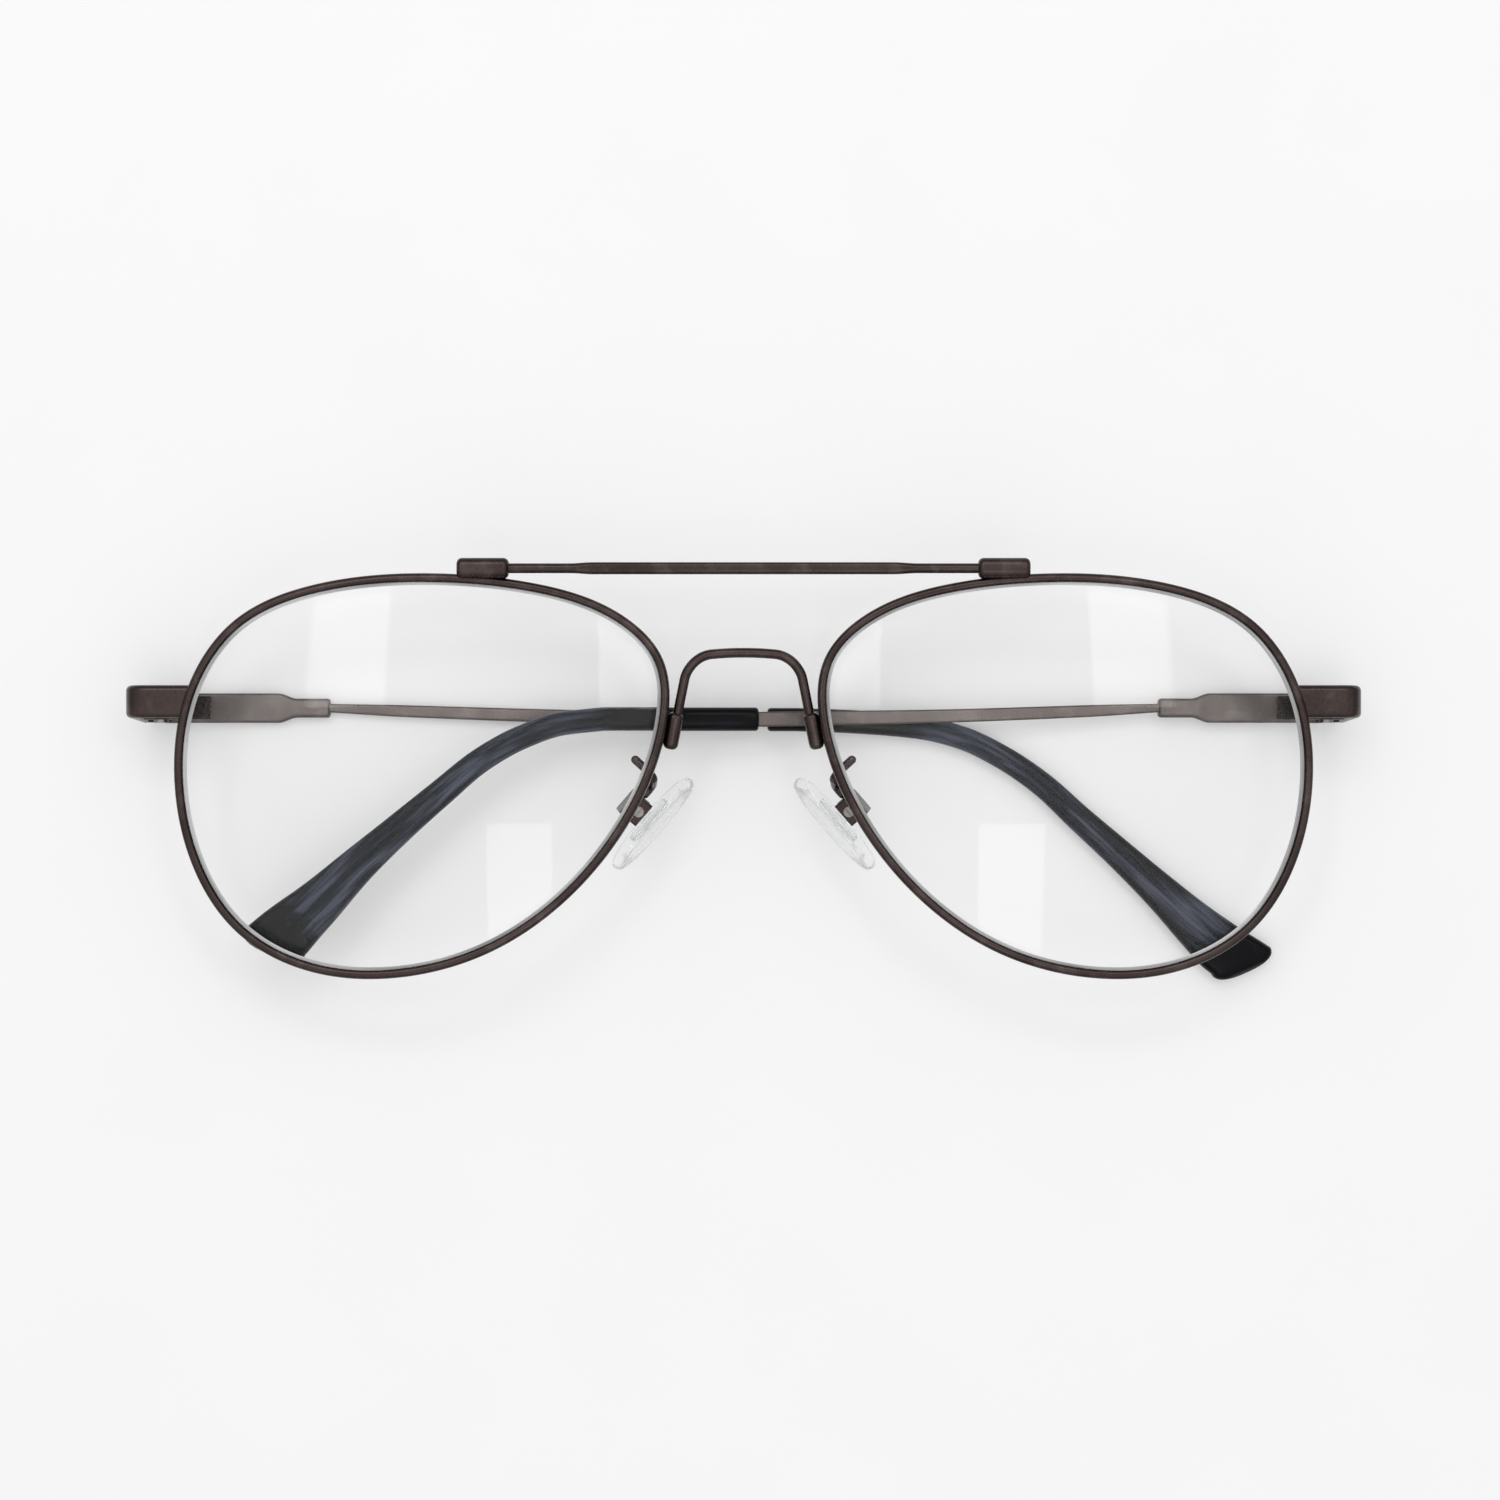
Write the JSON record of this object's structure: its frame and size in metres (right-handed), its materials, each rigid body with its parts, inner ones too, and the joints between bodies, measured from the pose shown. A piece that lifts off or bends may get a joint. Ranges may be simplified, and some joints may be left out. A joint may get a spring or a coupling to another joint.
{
  "type": "double bridge glasses",
  "caption": "Teardrop wire spectacles with a straight brow bar over a bowed lower bridge, rocking nose pads and thin folding temples.",
  "frame": {"origin": "bottom centre of the bounding box, on the table that the folded glasses lie on, face up", "axes": "+Z the way the front faces, away from the table; +Y from the lenses towards the brow bar; +X towards the wearer's left"},
  "size_m": [0.139, 0.048, 0.0148],
  "materials": {
    "gunmetal": "dark brown gunmetal, satin",
    "screw_steel": "plain fine steel",
    "lens": "clear polished lens",
    "tip": "polished near-black navy marbled plastic",
    "pad": "clear soft silicone"
  },
  "bodies": {
    "front": {"left_rim": "gunmetal", "right_rim": "gunmetal", "left_lens": "lens", "right_lens": "lens", "left_endpiece": "gunmetal", "right_endpiece": "gunmetal", "left_rim_lock_upper": "gunmetal", "right_rim_lock_upper": "gunmetal", "left_rim_lock_lower": "gunmetal", "right_rim_lock_lower": "gunmetal", "left_rim_screw": "screw_steel", "right_rim_screw": "screw_steel", "left_hinge_front": "gunmetal", "right_hinge_front": "gunmetal", "left_hinge_screw": "screw_steel", "right_hinge_screw": "screw_steel", "top_bar": "gunmetal", "left_top_bar_sleeve": "gunmetal", "right_top_bar_sleeve": "gunmetal", "lower_bridge": "gunmetal", "left_bridge_sleeve": "gunmetal", "right_bridge_sleeve": "gunmetal", "left_pad_arm": "gunmetal", "right_pad_arm": "gunmetal", "left_pad_box": "gunmetal", "right_pad_box": "gunmetal", "left_pad_screw": "screw_steel", "right_pad_screw": "screw_steel"},
    "left_temple": {"left_hinge_rear": "gunmetal", "left_temple_block": "gunmetal", "left_temple_wire": "gunmetal", "left_temple_tip": "tip"},
    "right_temple": {"right_hinge_rear": "gunmetal", "right_temple_block": "gunmetal", "right_temple_wire": "gunmetal", "right_temple_tip": "tip"},
    "left_pad": {"left_nose_pad": "pad", "left_pad_core": "screw_steel"},
    "right_pad": {"right_nose_pad": "pad", "right_pad_core": "screw_steel"}
  },
  "joints": [
    {"name": "left_temple_hinge", "type": "hinge", "parent": "front", "child": "left_temple", "pos_m": [0.06707, 0.00749, 0.00243], "axis": [0, -1, 0], "range_deg": [0, 93]},
    {"name": "right_temple_hinge", "type": "hinge", "parent": "front", "child": "right_temple", "pos_m": [-0.06707, 0.00749, 0.00243], "axis": [0, 1, 0], "range_deg": [0, 90]},
    {"name": "left_pad_rock", "type": "hinge", "parent": "front", "child": "left_pad", "pos_m": [0.0122, -0.00411, 0.0064], "axis": [-0.1826, -0.1587, 0.9703], "range_deg": [-10, 10]},
    {"name": "right_pad_rock", "type": "hinge", "parent": "front", "child": "right_pad", "pos_m": [-0.0122, -0.00411, 0.0064], "axis": [0.1826, -0.1587, 0.9703], "range_deg": [-10, 10]}
  ]
}
